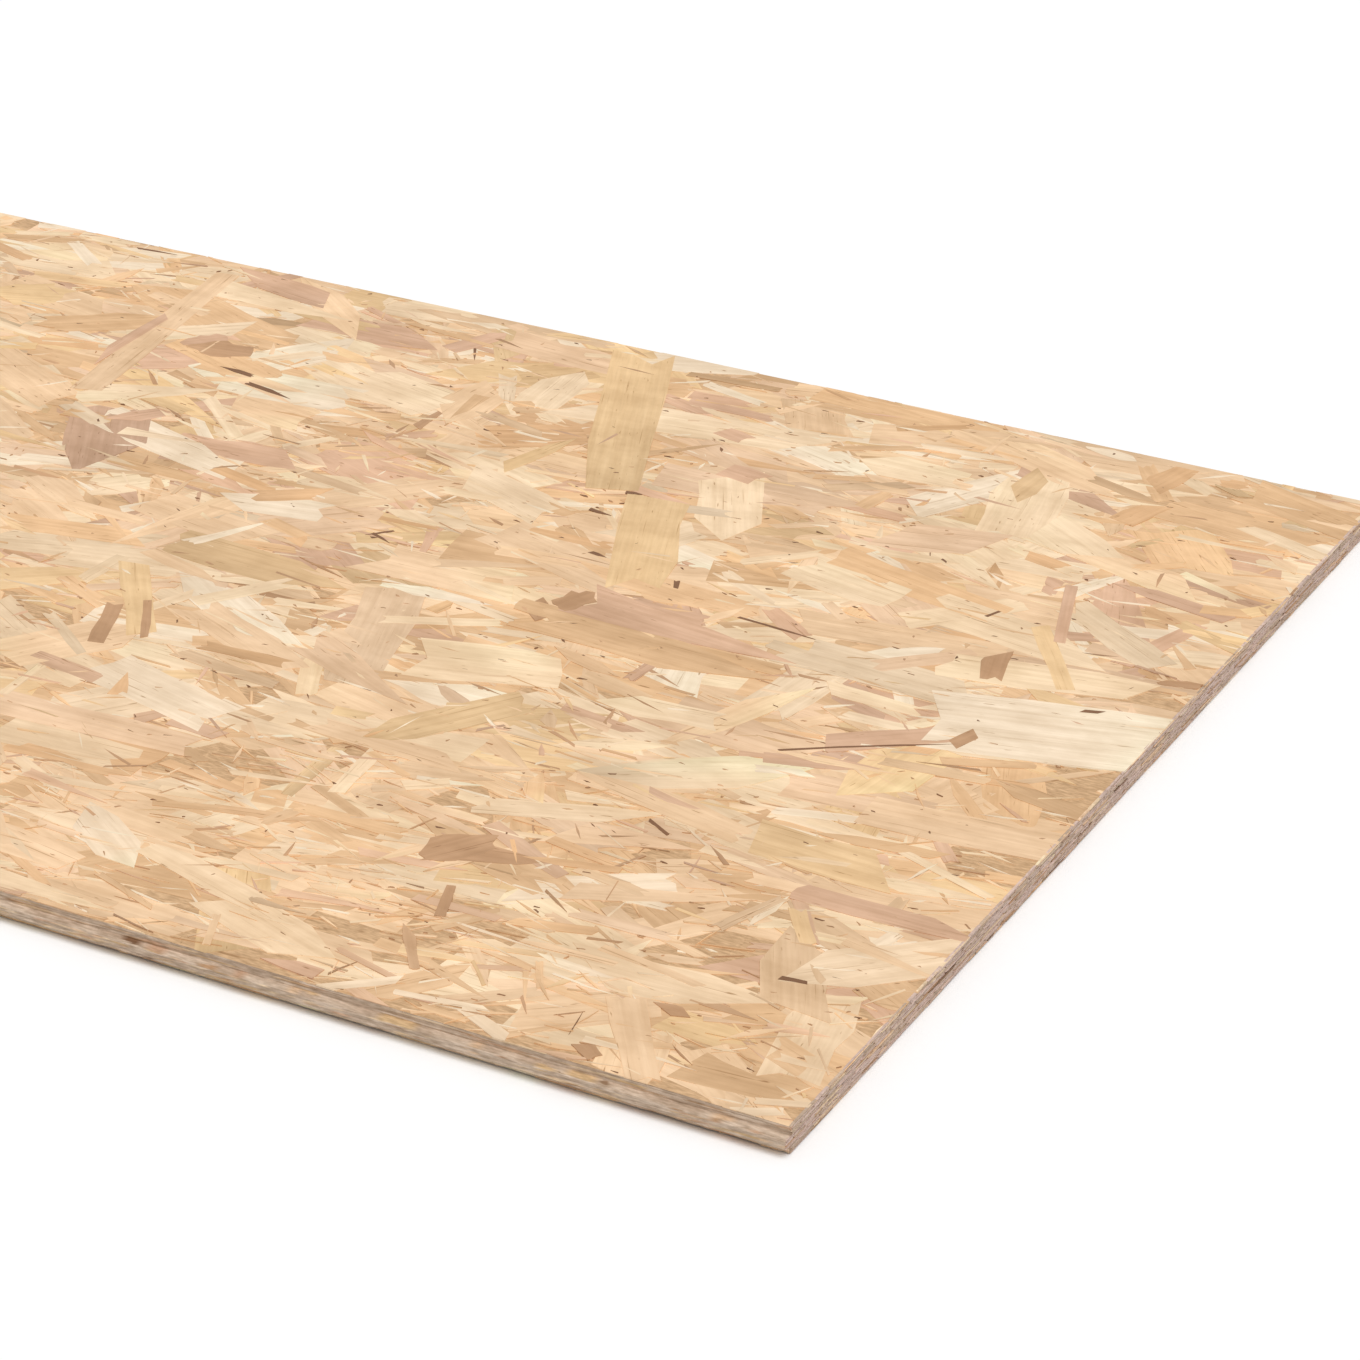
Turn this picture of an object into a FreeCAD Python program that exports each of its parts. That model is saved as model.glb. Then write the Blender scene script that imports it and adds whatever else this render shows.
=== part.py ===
import FreeCAD, Part
import os
import Sketcher

# A tongue-and-groove oriented strand board, lying on its underside.
# X runs along the board and Y across it, from the tongue to the groove. Z is up.
# The origin is on the underside, midway along the length and across the full width.

doc = FreeCAD.newDocument("StrandBoard")

# Driving dimensions in millimetres. A laid board covers cover_width, because its
# tongue goes into the next board's groove.
sizes = doc.addObject("Spreadsheet::Sheet", "Sizes")
drivingSizes = (
    ("board_length", 2050.0),
    ("cover_width", 675.0),
    ("board_thickness", 12.0),
    ("tongue_reach", 4.0),
    ("tongue_root", 4.8),
    ("tongue_nose", 4.4),
    ("tongue_top_depth", 4.0),
    ("nose_radius", 0.9),
    ("side_clearance", 0.2),
    ("floor_clearance", 0.6),
    ("floor_radius", 0.5),
)
for row, (alias, value) in enumerate(drivingSizes, start=1):
    sizes.set(f"A{row}", alias)
    sizes.set(f"B{row}", str(value))
    sizes.setAlias(f"B{row}", alias)
doc.recompute()

# Places across the board, as expressions of the driving dimensions.
halfWidth = "(Sizes.cover_width + Sizes.tongue_reach) / 2"
noseY = f"-{halfWidth}"
shoulderY = f"Sizes.tongue_reach - {halfWidth}"
edgeY = halfWidth
floorY = f"{halfWidth} - Sizes.tongue_reach - Sizes.floor_clearance"

# Heights of the tongue, which narrows evenly from its root to its nose.
noseTaper = "(Sizes.tongue_root - Sizes.tongue_nose) / 2"
topZ = "Sizes.board_thickness"
rootTopZ = "Sizes.board_thickness - Sizes.tongue_top_depth"
rootBottomZ = f"{rootTopZ} - Sizes.tongue_root"
noseTopZ = f"{rootTopZ} - {noseTaper}"
noseBottomZ = f"{rootBottomZ} + {noseTaper}"

# Heights of the groove, which clears the tongue by the same amount above and below.
mouthTopZ = f"{rootTopZ} + Sizes.side_clearance"
mouthBottomZ = f"{rootBottomZ} - Sizes.side_clearance"
floorTopZ = f"{noseTopZ} + Sizes.side_clearance"
floorBottomZ = f"{noseBottomZ} - Sizes.side_clearance"


def originPlane(body, role):
    return next(item for item in body.Origin.OriginFeatures if item.Role == role)


def millimetres(expression):
    return float(sizes.evalExpression(expression.replace("Sizes.", "")))


def sectionSketch(body, name, corners):
    """Draw a closed outline across the board, each corner tied to the sheet."""
    sketch = body.newObject("Sketcher::SketchObject", name)
    sketch.AttachmentSupport = (originPlane(body, "YZ_Plane"), [""])
    sketch.MapMode = "FlatFace"
    points = [FreeCAD.Vector(millimetres(y), millimetres(z), 0) for y, z in corners]
    count = len(points)
    for side in range(count):
        nextPoint = points[(side + 1) % count]
        sketch.addGeometry(Part.LineSegment(points[side], nextPoint))
    for side in range(count):
        nextSide = (side + 1) % count
        sketch.addConstraint(Sketcher.Constraint("Coincident", side, 2, nextSide, 1))
    for side, (y, z) in enumerate(corners):
        across = sketch.addConstraint(Sketcher.Constraint("DistanceX", -1, 1, side, 1, points[side].x))
        sketch.setExpression(f"Constraints[{across}]", y)
        upward = sketch.addConstraint(Sketcher.Constraint("DistanceY", -1, 1, side, 1, points[side].y))
        sketch.setExpression(f"Constraints[{upward}]", z)
    doc.recompute()
    return sketch


def padAlong(body, name, sketch):
    """Give a section the board's length, half of it on each side of the origin."""
    pad = body.newObject("PartDesign::Pad", name)
    pad.Profile = sketch
    pad.SideType = "Symmetric"
    pad.setExpression("Length", "Sizes.board_length")
    doc.recompute()
    return pad


def millAlong(body, name, sketch):
    """Mill a section out of the board from end to end."""
    volumeBefore = body.Shape.Volume
    cut = body.newObject("PartDesign::Pocket", name)
    cut.Profile = sketch
    cut.Type = "ThroughAll"
    cut.SideType = "Symmetric"
    doc.recompute()
    if body.Shape.Volume >= volumeBefore:
        raise RuntimeError(f"{name} cut nothing")
    return cut


def lengthwiseEdges(shape, places):
    """Name the edges that run along the board through the given places."""
    names = []
    for y, z in places:
        target = FreeCAD.Vector(0, millimetres(y), millimetres(z))
        for number, edge in enumerate(shape.Edges, start=1):
            box = edge.BoundBox
            near = box.Center.distanceToPoint(target) < 0.001
            if near and box.XLength > 0.9 * shape.BoundBox.XLength:
                names.append(f"Edge{number}")
    if len(names) != len(places):
        raise RuntimeError("an edge to round was not found")
    return names


def roundEdges(body, name, places, radius):
    doc.recompute()
    base = body.Tip
    fillet = body.newObject("PartDesign::Fillet", name)
    fillet.Base = (base, lengthwiseEdges(base.Shape, places))
    fillet.setExpression("Radius", radius)
    doc.recompute()
    return fillet


board = doc.addObject("PartDesign::Body", "Board")
board.Label = "osb_board"
board.Placement = FreeCAD.Placement()
doc.recompute()

# The pressed panel, sawn square and wide enough for the tongue.
panelCorners = ((noseY, "0"), (edgeY, "0"), (edgeY, topZ), (noseY, topZ))
padAlong(board, "Panel", sectionSketch(board, "PanelSection", panelCorners))

# Two rebates leave the tongue standing along one long edge.
upperCorners = ((noseY, noseTopZ), (shoulderY, rootTopZ), (shoulderY, topZ), (noseY, topZ))
millAlong(board, "UpperRebate", sectionSketch(board, "UpperRebateSection", upperCorners))
lowerCorners = ((noseY, "0"), (shoulderY, "0"), (shoulderY, rootBottomZ), (noseY, noseBottomZ))
millAlong(board, "LowerRebate", sectionSketch(board, "LowerRebateSection", lowerCorners))

# The groove along the other long edge takes the same tongue.
grooveCorners = (
    (floorY, floorBottomZ),
    (edgeY, mouthBottomZ),
    (edgeY, mouthTopZ),
    (floorY, floorTopZ),
)
millAlong(board, "Groove", sectionSketch(board, "GrooveSection", grooveCorners))

# The cutter rounds the tongue's nose and the corners of the groove's floor.
nosePlaces = ((noseY, noseBottomZ), (noseY, noseTopZ))
roundEdges(board, "RoundedNose", nosePlaces, "Sizes.nose_radius")
floorPlaces = ((floorY, floorBottomZ), (floorY, floorTopZ))
roundEdges(board, "RoundedFloor", floorPlaces, "Sizes.floor_radius")

for item in doc.Objects:
    if "Invalid" in item.State or "Error" in item.State:
        raise RuntimeError(f"{item.Label} did not build")
if board.Shape.isNull() or not board.Shape.isValid():
    raise RuntimeError("the board has no valid solid")
if len(board.Shape.Solids) != 1:
    raise RuntimeError("the board is not one solid")

os.makedirs("parts", exist_ok=True)
board.Shape.exportStep(f"parts/{board.Label}.step")
box = board.Shape.BoundBox
print(f"{board.Label}: {box.XLength:.2f} x {box.YLength:.2f} x {box.ZLength:.2f} mm")
print(f"volume {board.Shape.Volume / 1e6:.4f} litres")
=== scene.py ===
import math
import random

import bpy
import numpy as np
from mathutils import Matrix, Vector


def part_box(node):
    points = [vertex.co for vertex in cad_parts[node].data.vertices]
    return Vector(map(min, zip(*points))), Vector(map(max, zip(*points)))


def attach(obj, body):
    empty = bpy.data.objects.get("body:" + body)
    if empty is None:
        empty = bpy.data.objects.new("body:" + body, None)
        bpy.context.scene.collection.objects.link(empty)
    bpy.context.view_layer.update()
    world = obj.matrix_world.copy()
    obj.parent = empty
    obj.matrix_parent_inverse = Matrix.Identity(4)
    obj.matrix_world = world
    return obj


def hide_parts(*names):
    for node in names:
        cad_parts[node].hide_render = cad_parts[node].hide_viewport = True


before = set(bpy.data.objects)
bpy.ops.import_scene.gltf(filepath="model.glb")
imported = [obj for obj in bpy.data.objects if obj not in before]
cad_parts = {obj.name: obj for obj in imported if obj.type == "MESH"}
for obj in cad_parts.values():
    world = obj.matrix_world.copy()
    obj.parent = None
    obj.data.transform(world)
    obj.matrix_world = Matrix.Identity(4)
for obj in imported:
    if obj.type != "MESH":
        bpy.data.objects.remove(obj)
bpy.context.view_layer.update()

mm = 0.001
boardNode = "osb_board"
boardLow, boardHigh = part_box(boardNode)
dice = random.Random(20260)
print("frame loaded")


class Wire:
    # one output socket of a node tree, with arithmetic
    def __init__(self, tree, socket=None):
        self.tree = tree
        self.socket = socket

    def make(self, kind, settings=None, inputs=None, output=0):
        node = self.tree.nodes.new(kind)
        for name, value in (settings or {}).items():
            setattr(node, name, value)
        for name, value in (inputs or {}).items():
            if isinstance(value, Wire):
                self.tree.links.new(value.socket, node.inputs[name])
            else:
                node.inputs[name].default_value = value
        return Wire(self.tree, node.outputs[output] if len(node.outputs) else node)

    def maths(self, operation, first, second, limit=False):
        settings = {"operation": operation, "use_clamp": limit}
        return self.make("ShaderNodeMath", settings, {0: first, 1: second})

    def __add__(self, other):
        return self.maths("ADD", self, other)

    def __radd__(self, other):
        return self.maths("ADD", other, self)

    def __mul__(self, other):
        return self.maths("MULTIPLY", self, other)

    def __rmul__(self, other):
        return self.maths("MULTIPLY", other, self)

    def stretched(self, scale, move=(0, 0, 0)):
        settings = {"operation": "MULTIPLY_ADD"}
        return self.make("ShaderNodeVectorMath", settings, {0: self, 1: scale, 2: move})

    def spread(self, low, high):
        # 0 at low, 1 at high
        return self.make("ShaderNodeMapRange", {}, {"Value": self, "From Min": low, "From Max": high})

    def tinted(self, other, factor=1.0):
        settings = {"data_type": "RGBA", "blend_type": "MULTIPLY"}
        return self.make("ShaderNodeMix", settings, {0: factor, 6: self, 7: other}, output=2)

    def between(self, low, high):
        settings = {"data_type": "RGBA", "blend_type": "MIX"}
        sockets = {0: self, 6: (*low, 1), 7: (*high, 1)}
        return self.make("ShaderNodeMix", settings, sockets, output=2)


def linear(red, green, blue):
    # screen values 0 to 255 as scene colour
    parts = []
    for value in (red, green, blue):
        value = value / 255
        parts.append(value / 12.92 if value <= 0.04045 else ((value + 0.055) / 1.055) ** 2.4)
    return tuple(parts)


def newMaterial(name):
    material = bpy.data.materials.new(name)
    material.use_nodes = True
    tree = material.node_tree
    tree.nodes.clear()
    return material, Wire(tree)


woodLook = {
    "fibreScale": (55, 750, 1),       # fine fibres: along, across, per strand
    "ringScale": (7, 260, 1),         # growth rings show as broad streaks
    "patchScale": (26, 44, 26),       # soft stains that run across strands
    "fibreDark": (0.88, 0.86, 0.835),
    "fibreLight": (1.07, 1.075, 1.085),
    "ringDark": (0.915, 0.89, 0.855),
    "ringLight": (1.04, 1.047, 1.055),
    "patchDark": (0.88, 0.855, 0.82),
    "patchLight": (1.06, 1.07, 1.085),
    "marks": (
        # splits and flecks: scale along and across, where they start and are full, colour they take
        ((95, 620), (0.70, 0.77), (0.60, 0.50, 0.40)),
        ((20, 1000), (0.67, 0.75), (0.70, 0.62, 0.53)),
    ),
    "roughness": 0.62,
    "fibreHeight": 0.00006,
}


def strandMaterial(name, look):
    material, wire = newMaterial(name)
    tone = wire.make("ShaderNodeAttribute", {"attribute_name": "tone"}, output=0)
    grain = wire.make("ShaderNodeAttribute", {"attribute_name": "grain"}, output=1)
    place = wire.make("ShaderNodeTexCoord", output=3)

    def noise(vector, detail, roughness=0.55):
        sockets = {"Vector": vector, "Scale": 1.0, "Detail": detail, "Roughness": roughness}
        return wire.make("ShaderNodeTexNoise", {"noise_dimensions": "3D"}, sockets)

    fibre = noise(grain.stretched(look["fibreScale"]), 3.0)
    rings = noise(grain.stretched(look["ringScale"], (0, 0, 7)), 2.0)
    patch = noise(place.stretched(look["patchScale"]), 5.0, 0.6)
    colour = tone.tinted(fibre.between(look["fibreDark"], look["fibreLight"]))
    colour = colour.tinted(rings.spread(0.3, 0.7).between(look["ringDark"], look["ringLight"]))
    colour = colour.tinted(patch.spread(0.36, 0.64).between(look["patchDark"], look["patchLight"]))
    for scale, edges, tint in look["marks"]:
        mark = noise(grain.stretched((*scale, 1), (3, 0, 0)), 1.5)
        colour = colour.tinted((*tint, 1), mark.spread(*edges))
    height = fibre + rings * 0.8
    bump = wire.make("ShaderNodeBump", {}, {
        "Strength": 1.0, "Distance": look["fibreHeight"], "Height": height})
    rough = fibre * 0.14 + (look["roughness"] - 0.07)
    shader = wire.make("ShaderNodeBsdfPrincipled", {}, {
        "Base Color": colour, "Roughness": rough, "Normal": bump, "Specular IOR Level": 0.32})
    wire.make("ShaderNodeOutputMaterial", {}, {"Surface": shader})
    return material


def sectionOutline(node):
    # the outline of the board's end, as (y, z) corners in order round it
    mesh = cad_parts[node].data
    mesh.calc_loop_triangles()
    spots = [tuple(round(value, 6) for value in vertex.co) for vertex in mesh.vertices]
    endX = max(spot[0] for spot in spots)
    rims = {}
    for triangle in mesh.loop_triangles:
        corners = [spots[index] for index in triangle.vertices]
        if all(abs(corner[0] - endX) < 1e-5 for corner in corners):
            for first, second in zip(corners, corners[1:] + corners[:1]):
                rims[first[1:], second[1:]] = True
    following = {first: second for first, second in rims if (second, first) not in rims}
    outline = [next(iter(following))]
    while following[outline[-1]] != outline[0]:
        outline.append(following[outline[-1]])
    return outline


section = sectionOutline(boardNode)
topZ = boardHigh.z
shoulderY = min(y for y, z in section if abs(z - topZ) < 1e-5)
grooveEdgeY = boardHigh.y
faceWidth = grooveEdgeY - shoulderY
rightX = boardHigh.x
print("section has", len(section), "corners; face", round(faceWidth, 4))


def acrossAt(z):
    # lowest and highest y of the section at one height
    crossings = []
    for (y0, z0), (y1, z1) in zip(section, section[1:] + section[:1]):
        if (z0 - z) * (z1 - z) < 0:
            crossings.append(y0 + (y1 - y0) * (z - z0) / (z1 - z0))
    return min(crossings), max(crossings)


class StrandMesh:
    # many closed strands joined in one piece, each with its tone and grain
    def __init__(self):
        self.points = []
        self.faces = []
        self.tones = []
        self.grains = []

    def add(self, outline, place, top, depth, tone, grain, flip=False, shrink=0.00018, lift=None):
        # outline in the strand's plane; place turns (u, v, height) into the board's frame, and
        # grain turns (u, v) into distances along and across the fibres
        count = len(outline)
        centreU = sum(u for u, v in outline) / count
        centreV = sum(v for u, v in outline) / count
        start = len(self.points)
        seed = dice.uniform(0, 400)
        for u, v in outline:
            self.points.append(place(u, v, top - depth))
            self.grains.append((*grain(u, v), seed))
        for index, (u, v) in enumerate(outline):
            away = math.hypot(u - centreU, v - centreV)
            keep = 1 - min(shrink / away, 0.35) if away > 0 else 1
            rise = lift[index] if lift else 0
            inU = centreU + (u - centreU) * keep
            inV = centreV + (v - centreV) * keep
            self.points.append(place(inU, inV, top + rise))
            self.grains.append((*grain(inU, inV), seed))
        leanU, leanV = dice.gauss(0, 0.05), dice.gauss(0, 0.04)
        spanU = max(abs(u - centreU) for u, v in outline)
        spanV = max(abs(v - centreV) for u, v in outline)
        for index in range(2 * count):
            u, v = outline[index % count]
            shade = 1 + leanU * (u - centreU) / spanU + leanV * (v - centreV) / spanV
            shade += dice.uniform(-0.04, 0.04)
            self.tones.append((*(min(part * shade, 0.99) for part in tone), 1.0))
        lower = list(range(start, start + count))
        upper = list(range(start + count, start + 2 * count))
        sides = [(i, (i + 1) % count) for i in range(count)]
        walls = [(lower[i], lower[j], upper[j], upper[i]) for i, j in sides]
        found = [tuple(reversed(lower)), tuple(upper), *walls]
        if flip:
            found = [tuple(reversed(face)) for face in found]
        self.faces.extend(found)

    def triangles(self):
        return sum(len(face) - 2 for face in self.faces)

    def build(self, name, material):
        mesh = bpy.data.meshes.new(name)
        mesh.from_pydata(self.points, [], self.faces)
        tones = mesh.attributes.new("tone", "FLOAT_COLOR", "POINT")
        tones.data.foreach_set("color", np.array(self.tones, np.float32).ravel())
        grains = mesh.attributes.new("grain", "FLOAT_VECTOR", "POINT")
        grains.data.foreach_set("vector", np.array(self.grains, np.float32).ravel())
        mesh.materials.append(material)
        piece = bpy.data.objects.new(name, mesh)
        bpy.context.scene.collection.objects.link(piece)
        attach(piece, "root")
        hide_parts(boardNode)
        print(name, self.triangles(), "triangles")
        return piece


def clipped(outline, lowX, highX, lowY, highY):
    # keep the part of a flat outline that lies on the board
    for axis, limit, sign in ((0, lowX, 1), (0, highX, -1), (1, lowY, 1), (1, highY, -1)):
        kept = []
        count = len(outline)
        for index in range(count):
            here, there = outline[index], outline[(index + 1) % count]
            inHere = (here[axis] - limit) * sign
            inThere = (there[axis] - limit) * sign
            if inHere >= 0:
                kept.append(here)
            if inHere * inThere < 0:
                part = inHere / (inHere - inThere)
                kept.append(tuple(near + (far - near) * part for near, far in zip(here, there)))
        outline = kept
        if len(outline) < 3:
            return []
    return outline


def flakeOutline(length, width, ends):
    # a split or sliced strand: nearly straight sides, and ends that are cut, slanted, ragged or
    # pointed; a wedge narrows all along, and a blob is a torn lump
    half, side = length / 2, width / 2
    if ends[0] == "blob":
        corners = 15
        turns = [math.tau * (step + dice.uniform(-0.3, 0.3)) / corners for step in range(corners)]
        reach = [dice.uniform(0.66, 1.2) for turn in turns]
        rim = zip(reach, turns)
        return [(half * far * math.cos(turn), side * far * math.sin(turn)) for far, turn in rim]
    bow = dice.gauss(0, 0.035) * length * 0.25
    narrow = dice.uniform(0.75, 1.0)

    def wobble(amount):
        return dice.uniform(-amount, amount) * side

    def endPoints(sign, style, reach):
        if style == "pointed":
            return [(sign * half, wobble(0.7) * reach)]
        slant = dice.uniform(-0.9, 0.9) * width * (1.3 if style == "slanted" else 0.25)
        slant = max(-half * 0.6, min(half * 0.6, slant))
        low = (sign * half - max(slant, 0) * sign, -side * reach)
        high = (sign * half + min(slant, 0) * sign, side * reach)
        middle = []
        if style == "ragged":
            dents = dice.choice((1, 2, 2, 3))
            for number in range(dents):
                part = (number + 1) / (dents + 1)
                cut = dice.uniform(-0.5, 0.25) * min(width, half * 0.5)
                endU = low[0] + (high[0] - low[0]) * part + sign * cut
                middle.append((endU, (2 * part - 1) * side * reach))
        run = [low, *middle, high]
        return run if sign > 0 else run[::-1]

    sides = 1 if length < 0.035 else 2
    steps = [length * (number + 1) / (sides + 1) for number in range(sides)]
    lower = [(-half + step + wobble(0.5), -side + wobble(0.16)) for step in steps]
    upper = [(half - step + wobble(0.5), side + wobble(0.16)) for step in steps]
    wedge = ends[0] == "wedge"
    tip = endPoints(1, "pointed" if wedge else ends[0], narrow)
    outline = lower + tip + upper + endPoints(-1, ends[1], 1.0)
    if wedge:
        outline = [(u, v * (1 - 0.42 * (u + half) / half)) for u, v in outline]
    return [(u, v + bow * (1 - (u / half) ** 2)) for u, v in outline]


tones = {
    "cream": linear(252, 223, 186),
    "pale": linear(246, 210, 170),
    "tan": linear(235, 194, 149),
    "honey": linear(241, 205, 156),
    "pink": linear(242, 206, 170),
    "rose": linear(225, 184, 152),
    "orange": linear(228, 184, 138),
    "white": linear(255, 233, 204),
    "olive": linear(232, 196, 150),
    "brown": linear(201, 159, 121),
    "bark": linear(142, 104, 75),
    "ash": linear(232, 208, 185),
    "drab": linear(212, 186, 162),
    "mauve": linear(225, 198, 184),
}

strandKinds = {
    # density is strands per square metre of face; lengths, widths and depths under the face are in
    # metres; shade is how far the tone varies; the tones have weights
    "bed": {
        "density": 900, "length": (0.07, 0.13), "width": (0.022, 0.048),
        "depths": (0.00042, 0.00052),
        "ends": ("slanted", "cut"), "shade": 0.05,
        "tones": {"cream": 14, "pale": 26, "tan": 24, "honey": 6, "pink": 6, "rose": 3, "olive": 4},
    },
    "flake": {
        "density": 1000, "length": (0.045, 0.13), "width": (0.014, 0.046),
        "depths": (0.00007, 0.00036),
        "ends": ("slanted", "ragged", "ragged", "pointed", "wedge"), "shade": 0.065,
        "tones": {"cream": 30, "pale": 24, "tan": 20, "honey": 7, "pink": 8, "rose": 5, "orange": 2,
                  "white": 9, "olive": 1},
    },
    "strand": {
        "density": 2500, "length": (0.018, 0.07), "width": (0.0035, 0.014),
        "depths": (0.00007, 0.00036),
        "ends": ("slanted", "ragged", "pointed", "ragged", "wedge"), "shade": 0.09,
        "tones": {"cream": 24, "pale": 20, "tan": 20, "honey": 6, "pink": 6, "rose": 9, "orange": 6,
                  "white": 8, "olive": 1, "brown": 1.2},
    },
    "sliver": {
        "density": 9000, "length": (0.005, 0.034), "width": (0.0007, 0.0032),
        "depths": (0.00003, 0.0003),
        "ends": ("pointed", "pointed", "slanted"), "shade": 0.1,
        "tones": {"cream": 26, "pale": 22, "tan": 18, "honey": 2, "pink": 1, "rose": 6, "orange": 6,
                  "white": 14, "olive": 1, "brown": 9, "bark": 0.7},
    },
    "fleck": {
        "density": 1900, "length": (0.0014, 0.006), "width": (0.0005, 0.0018),
        "depths": (0.00001, 0.0001),
        "ends": ("pointed", "slanted"), "shade": 0.12,
        "tones": {"brown": 9, "bark": 4},
    },
}

# Strands that stand out on this board: distance in from the right-hand end and up from the tongue's
# shoulder, length, width (all in millimetres), turn in degrees, tone, ends and depth under the face.
standouts = (
    (373, 580, 197, 34, -67, "honey", ("cut", "ragged"), 0.05),
    (290, 441, 117, 32, -69, "honey", ("ragged", "slanted"), 0.05),
    (36, 348, 126, 58, 15, "white", ("ragged", "ragged"), 0.05),
    (235, 334, 132, 30, -3, "tan", ("pointed", "ragged"), 0.07),
    (228, 359, 122, 36, -7, "rose", ("wedge", "ragged"), 0.03),
    (286, 363, 27, 17, 74, "brown", ("blob", "blob"), 0.02),
    (104, 293, 80, 1.7, 35, "bark", ("pointed", "cut"), 0.02),
    (98, 307, 68, 17, 40, "rose", ("ragged", "slanted"), 0.05),
    (72, 322, 21, 8, 74, "brown", ("slanted", "slanted"), 0.02),
    (196, 124, 50, 25, 14, "brown", ("wedge", "ragged"), 0.05),
    (208, 126, 34, 25, 60, "brown", ("blob", "blob"), 0.04),
    (163, 134, 42, 6, 16, "orange", ("cut", "pointed"), 0.03),
    (191, 82, 26, 4.5, 110, "brown", ("cut", "cut"), 0.02),
    (606, 552, 40, 24, 12, "brown", ("blob", "blob"), 0.04),
    (620, 560, 26, 20, 50, "rose", ("blob", "blob"), 0.05),
    (581, 529, 24, 4.5, -8, "bark", ("ragged", "pointed"), 0.02),
    (551, 514, 34, 4, -12, "bark", ("pointed", "ragged"), 0.02),
    (656, 540, 87, 8, 95, "rose", ("slanted", "pointed"), 0.04),
    (651, 560, 196, 17, 101, "pale", ("cut", "cut"), 0.06),
    (744, 571, 54, 40, 25, "honey", ("blob", "blob"), 0.07),
    (683, 555, 75, 26, 40, "tan", ("pointed", "ragged"), 0.07),
    (632, 655, 82, 22, -12, "rose", ("slanted", "pointed"), 0.05),
    (466, 384, 60, 24, 12, "white", ("ragged", "pointed"), 0.06),
    (590, 447, 31, 14, 53, "rose", ("cut", "pointed"), 0.05),
    (513, 436, 64, 24, 5, "rose", ("slanted", "pointed"), 0.06),
    (465, 402, 42, 14, 38, "orange", ("slanted", "ragged"), 0.05),
    (102, 650, 40, 16, 78, "orange", ("cut", "slanted"), 0.05),
    (97, 602, 36, 15, 73, "orange", ("slanted", "slanted"), 0.04),
    (84, 468, 67, 6, -73, "rose", ("cut", "cut"), 0.03),
    (34, 376, 12, 3.2, 19, "bark", ("slanted", "slanted"), 0.01),
    (33, 161, 84, 14, 1, "rose", ("pointed", "ragged"), 0.04),
    (45, 95, 12, 3.2, 9, "bark", ("cut", "slanted"), 0.01),
    (456, 230, 45, 8, -67, "brown", ("cut", "ragged"), 0.04),
    (460, 261, 85, 14, -53, "honey", ("cut", "slanted"), 0.06),
    (443, 243, 41, 4, -58, "brown", ("cut", "cut"), 0.03),
    (315, 587, 20, 12, -17, "rose", ("ragged", "cut"), 0.04),
    (287, 541, 24, 17, -10, "rose", ("ragged", "slanted"), 0.04),
    (312, 566, 7, 2, -55, "bark", ("pointed", "pointed"), 0.01),
    (115, 550, 60, 32, -35, "cream", ("slanted", "slanted"), 0.06),
    (71, 420, 70, 9, -58, "honey", ("cut", "slanted"), 0.04),
    (90, 399, 34, 12, -75, "brown", ("ragged", "slanted"), 0.04),
    (113, 450, 10, 2, 70, "bark", ("cut", "cut"), 0.01),
    (323, 491, 9, 3.6, 10, "bark", ("pointed", "ragged"), 0.01),
    (326, 461, 14, 3, -12, "bark", ("pointed", "slanted"), 0.01),
    (302, 415, 11, 3, -10, "bark", ("pointed", "slanted"), 0.01),
    (254, 403, 10, 3, -67, "bark", ("slanted", "ragged"), 0.01),
    (192, 383, 42, 1.7, -6, "bark", ("pointed", "cut"), 0.02),
    (10, 423, 21, 8, 20, "brown", ("blob", "blob"), 0.02),
    (71, 661, 17, 11, 10, "orange", ("blob", "blob"), 0.03),
    (198, 279, 60, 20, 5, "cream", ("ragged", "pointed"), 0.06),
    (75, 52, 17, 8, 8, "brown", ("slanted", "pointed"), 0.03),
    (88, 10, 13, 8, -36, "brown", ("ragged", "slanted"), 0.03),
    (216, 8, 26, 9, -3, "rose", ("slanted", "pointed"), 0.03),
    (159, 605, 48, 14, 88, "olive", ("slanted", "pointed"), 0.05),
    (216, 593, 62, 28, 0, "cream", ("ragged", "pointed"), 0.06),
    (404, 383, 15, 2, 50, "bark", ("cut", "pointed"), 0.01),
    (400, 378, 15, 2, -22, "bark", ("pointed", "cut"), 0.01),
)


def pick(choices):
    return dice.choices(list(choices), weights=list(choices.values()))[0]


def drift(x, y, phase):
    # a slow wandering field over the board, about -1 to 1
    return (math.sin(x * 5.3 + phase) * math.cos(y * 7.1 - phase * 2) +
            0.6 * math.sin(x * 11.7 - y * 9.2 + phase * 3)) / 1.6


def varied(tone, amount):
    # the same tone a little lighter or darker, and warmer or cooler
    shade = 1 + dice.gauss(0, amount)
    warm = dice.gauss(0, amount * 0.25)
    red, green, blue = tone
    shade = min(shade, 0.985 / red)
    return (red * shade, green * shade * (1 - warm * 0.3), blue * shade * (1 - warm))


coreDepth = 0.6 * mm     # how far the strands of a face reach down to the core


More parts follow.
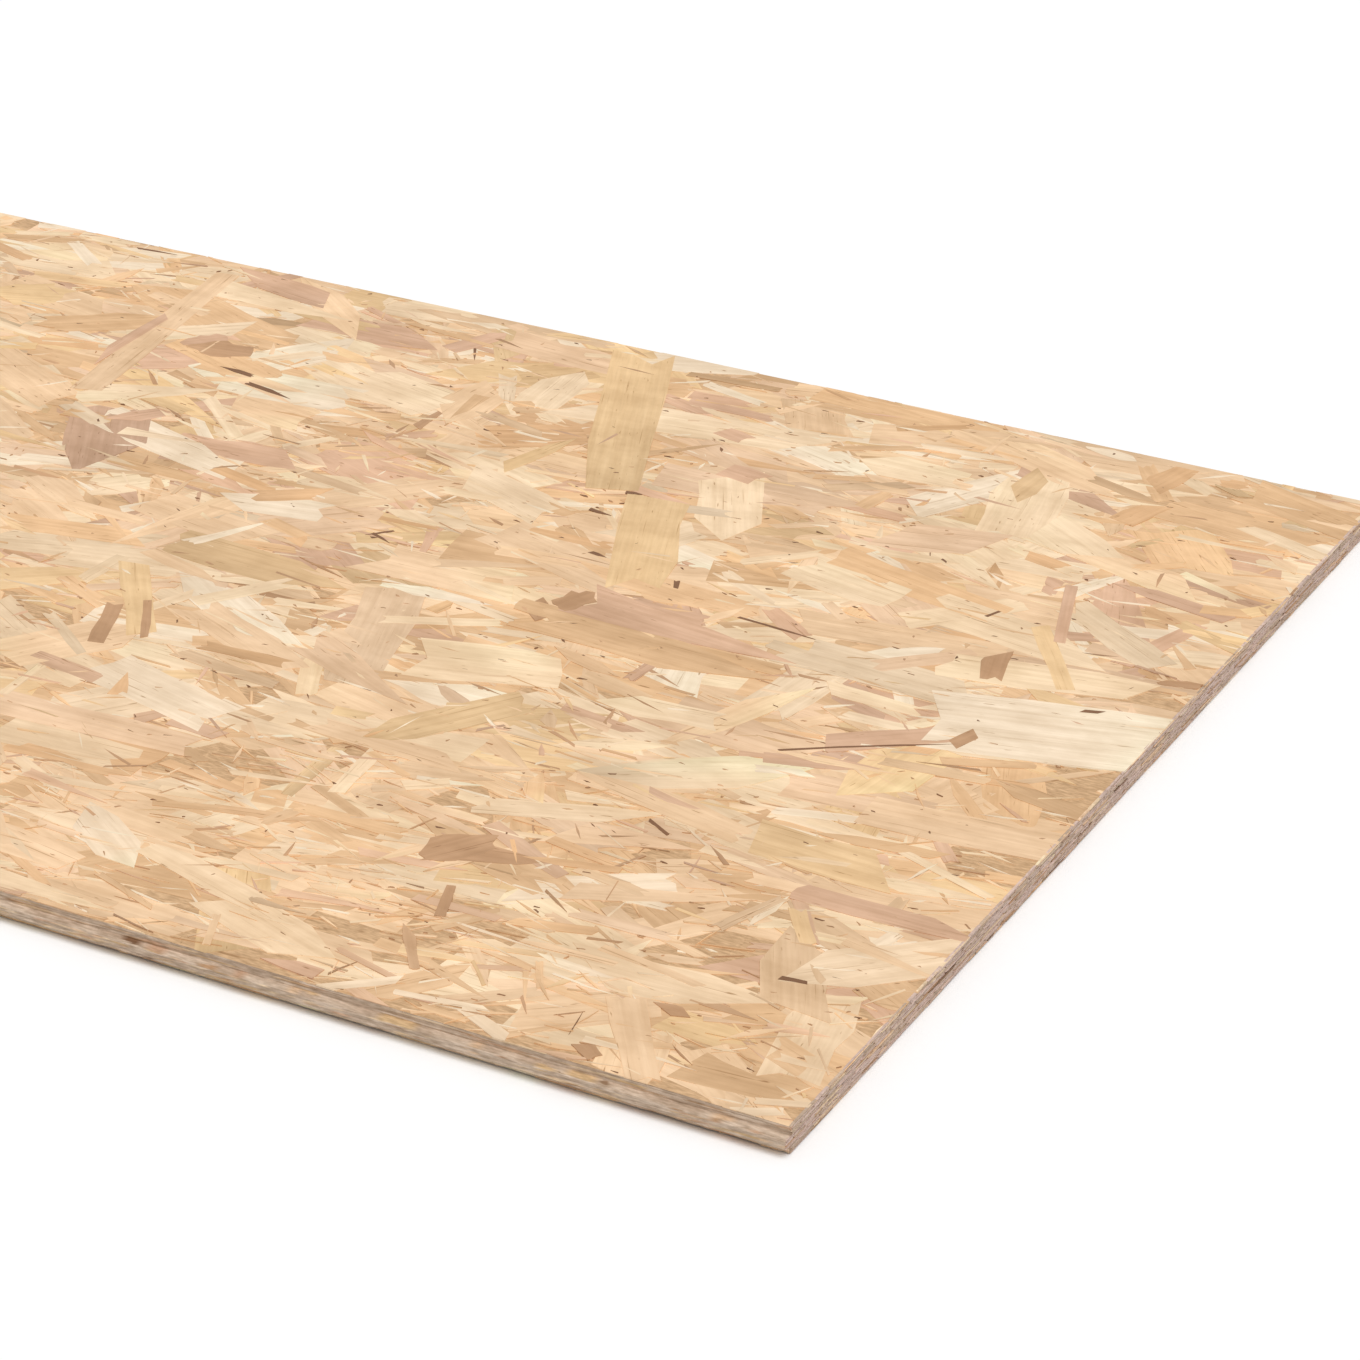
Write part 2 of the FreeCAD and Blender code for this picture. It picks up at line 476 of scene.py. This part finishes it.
def layFlake(target, x, y, turn, outline, depth, tone, upper):
    # put one flat strand on the upper or the lower face
    cosine, sine = math.cos(turn), math.sin(turn)
    ring = [(x + u * cosine - v * sine, y + u * sine + v * cosine) for u, v in outline]
    trim = dice.uniform(0.03, 0.3) * mm
    ring = clipped(ring, boardLow.x + trim, rightX - trim, shoulderY + trim, grooveEdgeY - trim)
    if len(ring) < 3:
        return
    faceZ = topZ if upper else boardLow.z
    outward = 1 if upper else -1

    def place(u, v, height):
        return (u, v, faceZ + outward * height)

    def grain(u, v):
        return ((u - x) * cosine + (v - y) * sine, (v - y) * cosine - (u - x) * sine)

    room = depth * 0.8
    lift = [dice.uniform(-room, room) * 0.25 for point in ring]
    intoCore = 0.1 * mm
    target.add(ring, place, -depth, coreDepth - depth + intoCore, tone, grain, flip=not upper, lift=lift)


layLook = {
    "straightShare": 0.5,              # this share lies nearly along the board
    "straightTurn": math.radians(14),
    "looseShare": 0.84,                # up to this share lies loosely along it, and the rest anyhow
    "looseTurn": math.radians(38),
    "clouds": 0.075,                   # slow change of tone over the board
    "calm": 0.35,                      # how far tones draw together beside the tongue
    "pieces": 3,
}


def layFace(upper, share):
    # strands over one whole face, sorted into pieces along its length
    pieces = [StrandMesh() for number in range(layLook["pieces"])]
    span = boardHigh.x - boardLow.x
    phase = 0.7 if upper else 2.9

    def pieceFor(x):
        return pieces[min(len(pieces) - 1, max(0, int((x - boardLow.x) / span * len(pieces))))]

    for kind, facts in strandKinds.items():
        count = int(facts["density"] * span * faceWidth * share)
        for number in range(count):
            x = dice.uniform(boardLow.x, rightX)
            y = dice.uniform(shoulderY, grooveEdgeY)
            # strands are finer and calmer towards the tongue
            near = max(0, 1 - (y - shoulderY) / faceWidth * 2.2)
            fine = 0.45 + 0.4 * drift(x, y, phase) + 0.6 * near
            if kind == "sliver" and dice.random() > 0.22 + 0.65 * fine:
                continue
            if kind == "flake" and dice.random() < 0.55 * fine:
                continue
            length = dice.triangular(*facts["length"]) * (1 - 0.25 * near)
            width = dice.triangular(*facts["width"]) * (1 - 0.45 * near)
            mood = dice.random()
            if mood < layLook["straightShare"]:
                turn = 0.16 * drift(x, y, phase + 4) + dice.gauss(0, layLook["straightTurn"])
            elif mood < layLook["looseShare"]:
                turn = 0.16 * drift(x, y, phase + 4) + dice.gauss(0, layLook["looseTurn"])
            else:
                turn = dice.uniform(0, math.pi)
                length *= 0.8
            ends = (dice.choice(facts["ends"]), dice.choice(facts["ends"]))
            outline = flakeOutline(length, width, ends)
            depth = dice.uniform(*facts["depths"])
            named = pick(facts["tones"])
            cloud = 1 + layLook["clouds"] * drift(x * 2.3, y * 2.9, phase + 1.5)
            if named == "white":
                tone = varied(tones[named], 0.02)
            else:
                tone = varied([part * cloud for part in tones[named]], facts["shade"])
            calm = layLook["calm"] * near if kind in ("flake", "strand") else 0
            tone = tuple(part + (base - part) * calm for part, base in zip(tone, tones["pale"]))
            layFlake(pieceFor(x), x, y, turn, outline, depth, tone, upper)
    if upper:
        for inward, up, length, width, turn, tone, ends, depth in standouts:
            x, y = rightX - inward * mm, shoulderY + up * mm
            outline = flakeOutline(length * mm, width * mm, ends)
            tone = varied(tones[tone], 0.02)
            layFlake(pieceFor(x), x, y, math.radians(turn), outline, depth * mm, tone, upper)
    return pieces


edgeLook = {
    "layer": 0.00055,                # thickness of one pressed strand
    "relief": 0.00034,               # how far strand edges stand back
    "stationStep": 0.004,
    "edgeStep": 0.00045,
    "lift": 0.86,                    # tone of the edge, and the painted light that brightens the shaded part under the tongue
    "underTonguePaintedLight": 1.3,
    "tones": {"ash": 44, "drab": 32, "pink": 6, "rose": 4, "olive": 5, "brown": 3, "cream": 6,
              "bark": 0.3},
}


def shadeOf(*numbers):
    # a steady random value from 0 to 1 for a cell
    factors = (12.9898, 78.233, 37.719)
    mixed = math.sin(sum(number * factor for number, factor in zip(numbers, factors))) * 43758.5453
    return mixed - math.floor(mixed)


def ringPoints():
    # the section walked in small steps on its milled edges and long ones on its faces
    walk = []
    for (y0, z0), (y1, z1) in zip(section, section[1:] + section[:1]):
        run = math.hypot(y1 - y0, z1 - z0)
        onFace = run > 0.1
        steps = max(1, round(run / (0.03 if onFace else edgeLook["edgeStep"])))
        normal = ((z1 - z0) / run, -(y1 - y0) / run)
        for step in range(steps):
            part = step / steps
            walk.append((y0 + (y1 - y0) * part, z0 + (z1 - z0) * part, normal, onFace))
    return walk


def layerCell(x, z, phase):
    # which strand shows at a place on a milled edge: long ones near the faces, short ones in the middle
    wave = 0.0003 * math.sin(x * 21 + phase) + 0.0002 * math.sin(x * 67 + z * 900)
    layer = math.floor((z + wave) / edgeLook["layer"])
    middle = abs(z / topZ - 0.5) < 0.2
    cellLength = (0.005 if middle else 0.014) * (0.7 + 0.9 * shadeOf(layer, phase, 3))
    along = math.floor(x / cellLength + 9 * shadeOf(layer, 5, phase))
    return layer, along


def buildCore(material):
    target = StrandMesh()
    walk = ringPoints()
    count = len(walk)
    stations = round((boardHigh.x - boardLow.x) / edgeLook["stationStep"])
    lowX, highX = boardLow.x + 0.0006, rightX - 0.0006
    names = list(edgeLook["tones"])
    weights = np.cumsum([edgeLook["tones"][name] for name in names]) / sum(edgeLook["tones"].values())
    normals = []
    for index in range(count):
        before, after = walk[index - 1][2], walk[index][2]
        sumY, sumZ = before[0] + after[0], before[1] + after[1]
        size = max(math.hypot(sumY, sumZ), 0.3)
        normals.append((sumY / size, sumZ / size))
    turning = sum(y0 * z1 - y1 * z0 for (y0, z0), (y1, z1) in zip(section, section[1:] + section[:1]))
    outward = 1 if turning > 0 else -1
    for station in range(stations + 1):
        x = lowX + (highX - lowX) * station / stations
        for index, (y, z, normal, onFace) in enumerate(walk):
            phase = 1.0 if y < 0 else 2.0
            layer, along = layerCell(x, z, phase)
            chance = shadeOf(layer, along, phase)
            touchesFace = z > topZ - 1e-5 or z < boardLow.z + 1e-5
            back = 0.00006 + edgeLook["relief"] * shadeOf(along, layer, phase + 7)
            inY, inZ = normals[index]
            if touchesFace:
                newZ = topZ - coreDepth if z > topZ / 2 else boardLow.z + coreDepth
                newY = max(shoulderY + 0.0003, min(grooveEdgeY - 0.0003, y))
            else:
                newY = y - outward * inY * back
                newZ = z - outward * inZ * back
                underFaces = z > topZ - coreDepth or z < boardLow.z + coreDepth
                if abs(inY) > 0.9 and underFaces:
                    newZ = max(boardLow.z + coreDepth * 0.9, min(topZ - coreDepth * 0.9, newZ))
            target.points.append((x, newY, newZ))
            tone = tones["tan" if touchesFace else names[int(np.searchsorted(weights, chance))]]
            # painted light: edge strands under the tongue are made lighter to make up for the shade of
            # the rebate there
            underTongue = z < topZ * 0.28 and not touchesFace
            lift = edgeLook["underTonguePaintedLight"] if underTongue else edgeLook["lift"]
            tone = tuple(min(part * lift, 0.97) for part in tone)
            target.tones.append((*tone, 1.0))
            target.grains.append((x, z + y * 0.3, layer * 3.1))
    for station in range(stations):
        for index in range(count):
            here, beside = station * count + index, station * count + (index + 1) % count
            face = (here, beside, beside + count, here + count)
            target.faces.append(face if outward < 0 else tuple(reversed(face)))
    first = tuple(range(count))
    last = tuple(range(stations * count, (stations + 1) * count))
    target.faces.append(tuple(reversed(first)) if outward > 0 else first)
    target.faces.append(last if outward > 0 else tuple(reversed(last)))
    return target.build("pressedCore", material)


endLook = {
    "layer": 0.0007,
    "lengths": (0.005, 0.026),
    "tones": {"mauve": 50, "drab": 34, "pink": 4, "brown": 3, "cream": 3, "bark": 0.4},
}


def layEnd(sign, material, name):
    # rows of sawn strands over one end, each row clipped to the section at its height
    target = StrandMesh()
    endX = rightX if sign > 0 else boardLow.x
    z = boardLow.z + 0.0001
    while z < topZ - 0.0003:
        thick = endLook["layer"] * dice.uniform(0.7, 1.25)
        upper = min(z + thick, topZ - 0.00005)
        lowY = max(acrossAt(z + 0.00001)[0], acrossAt(upper - 0.00001)[0]) + 0.00015
        highY = min(acrossAt(z + 0.00001)[1], acrossAt(upper - 0.00001)[1]) - 0.00015
        y = lowY
        while y < highY - 0.001:
            run = dice.uniform(*endLook["lengths"])
            stop = min(y + run, highY)
            middle = (z + upper) / 2
            half = (upper - z) / 2
            sag = dice.uniform(-0.3, 0.3) * half
            early, centre, late = (y + (stop - y) * part for part in (0.12, 0.5, 0.88))
            outline = [(y, middle), (early, z), (centre, z + max(sag, 0) * 0.4), (late, z),
                       (stop, middle), (late, upper), (centre, upper + min(sag, 0) * 0.4), (early, upper)]
            depth = dice.uniform(0.00002, 0.00045)
            tone = varied(tones[pick(endLook["tones"])], 0.045)

            def place(u, v, height):
                return (endX + sign * height, u, v)

            def grain(u, v):
                return (u * 4, v * 2)

            target.add(outline, place, -depth, 0.0012 - depth, tone, grain, flip=sign < 0, shrink=0.00006)
            y = stop
        z = upper
    return target.build(name, material)


strandWood = strandMaterial("strandWood", woodLook)
cutLook = {
    **woodLook,
    "ringDark": (0.86, 0.84, 0.81),
    "patchDark": (0.76, 0.73, 0.69),  # rough mottling of cut strands
    "patchLight": (1.10, 1.11, 1.12),
    "fibreHeight": 0.00012,
}
edgeWood = strandMaterial("milledStrandWood", {
    **cutLook, "ringScale": (60, 1200, 1), "fibreScale": (200, 2200, 1), "patchScale": (210, 800, 800)})
endWood = strandMaterial("sawnStrandWood", {
    **cutLook, "ringScale": (260, 1200, 1), "fibreScale": (700, 2200, 1), "patchScale": (800, 300, 900),
    "patchDark": (0.82, 0.80, 0.785), "patchLight": (1.05, 1.06, 1.075)})
for number, strands in enumerate(layFace(True, 1.0)):
    strands.build(f"topStrands{number + 1}", strandWood)
for number, strands in enumerate(layFace(False, 0.7)):
    strands.build(f"undersideStrands{number + 1}", strandWood)
buildCore(edgeWood)
layEnd(1, endWood, "rightEndStrands")
layEnd(-1, endWood, "leftEndStrands")


studio = {
    "skyLevel": 0.485,
    "skySeen": 0.98,        # what a view sees of the sky and the floor
    "lampLevel": 0.588,
    "lampHeight": 68,       # degrees above the floor
    "lampTurn": -42,        # degrees round from the front
    "lampSpread": 50,
    "floorColour": 0.8,
    "floorSeen": 0.99,
    "floorSize": 14,
}


def makeStudio():
    scene = bpy.context.scene
    scene.view_settings.view_transform = "Standard"
    world = bpy.data.worlds.new("studioSky")
    world.use_nodes = True
    world.node_tree.nodes.clear()
    wire = Wire(world.node_tree)
    seen = wire.make("ShaderNodeLightPath")
    strength = seen * (studio["skySeen"] - studio["skyLevel"]) + studio["skyLevel"]
    sky = wire.make("ShaderNodeBackground", {}, {"Color": (1, 1, 1, 1), "Strength": strength})
    wire.make("ShaderNodeOutputWorld", {}, {"Surface": sky})
    scene.world = world
    lamp = bpy.data.lights.new("softLamp", "SUN")
    lamp.energy = math.pi * studio["lampLevel"]
    lamp.angle = math.radians(studio["lampSpread"])
    lampPiece = bpy.data.objects.new("softLamp", lamp)
    high, turn = math.radians(studio["lampHeight"]), math.radians(studio["lampTurn"])
    flat = math.cos(high)
    toLamp = Vector((-math.sin(turn) * flat, -math.cos(turn) * flat, math.sin(high)))
    lampPiece.rotation_euler = toLamp.to_track_quat("Z", "Y").to_euler()
    scene.collection.objects.link(lampPiece)
    size = studio["floorSize"]
    mesh = bpy.data.meshes.new("floor")
    corners = [(-size, -size), (size, -size), (size, size), (-size, size)]
    mesh.from_pydata([(x, y, boardLow.z - 0.0002) for x, y in corners], [], [(0, 1, 2, 3)])
    floor = bpy.data.objects.new("floor", mesh)
    scene.collection.objects.link(floor)
    material, wire = newMaterial("paleFloor")
    path = "ShaderNodeLightPath"
    seen = wire.make(path) + wire.make(path, output=3) + wire.make(path, output=6)
    extra = seen * (studio["floorSeen"] - studio["floorColour"])
    level = wire.maths("ADD", extra, studio["floorColour"], True)
    shader = wire.make("ShaderNodeBsdfDiffuse", {}, {"Color": level})
    wire.make("ShaderNodeOutputMaterial", {}, {"Surface": shader})
    mesh.materials.append(material)


cameraPlace = {
    # from the top corner where the tongue's shoulder meets the right-hand end, in metres
    "offset": (0.4776, -1.0685, 0.7270),
    "pitch": 25.29,         # degrees down, round to the left, and tipped about the line of sight
    "turn": 26.32,
    "tip": 2.09,
    "lens": 101.49,
}


def makeCamera():
    camera = bpy.data.cameras.new("camera")
    camera.lens = cameraPlace["lens"]
    camera.sensor_width = 36
    camera.clip_start = 0.05
    piece = bpy.data.objects.new("camera", camera)
    piece.location = Vector((rightX, shoulderY, topZ)) + Vector(cameraPlace["offset"])
    aim = Matrix.Rotation(math.radians(cameraPlace["turn"]), 3, "Z")
    aim = aim @ Matrix.Rotation(math.radians(90 - cameraPlace["pitch"]), 3, "X")
    aim = aim @ Matrix.Rotation(math.radians(cameraPlace["tip"]), 3, "Z")
    piece.rotation_euler = aim.to_euler()
    bpy.context.scene.collection.objects.link(piece)
    bpy.context.scene.camera = piece


makeStudio()
makeCamera()
print("studio and camera ready")
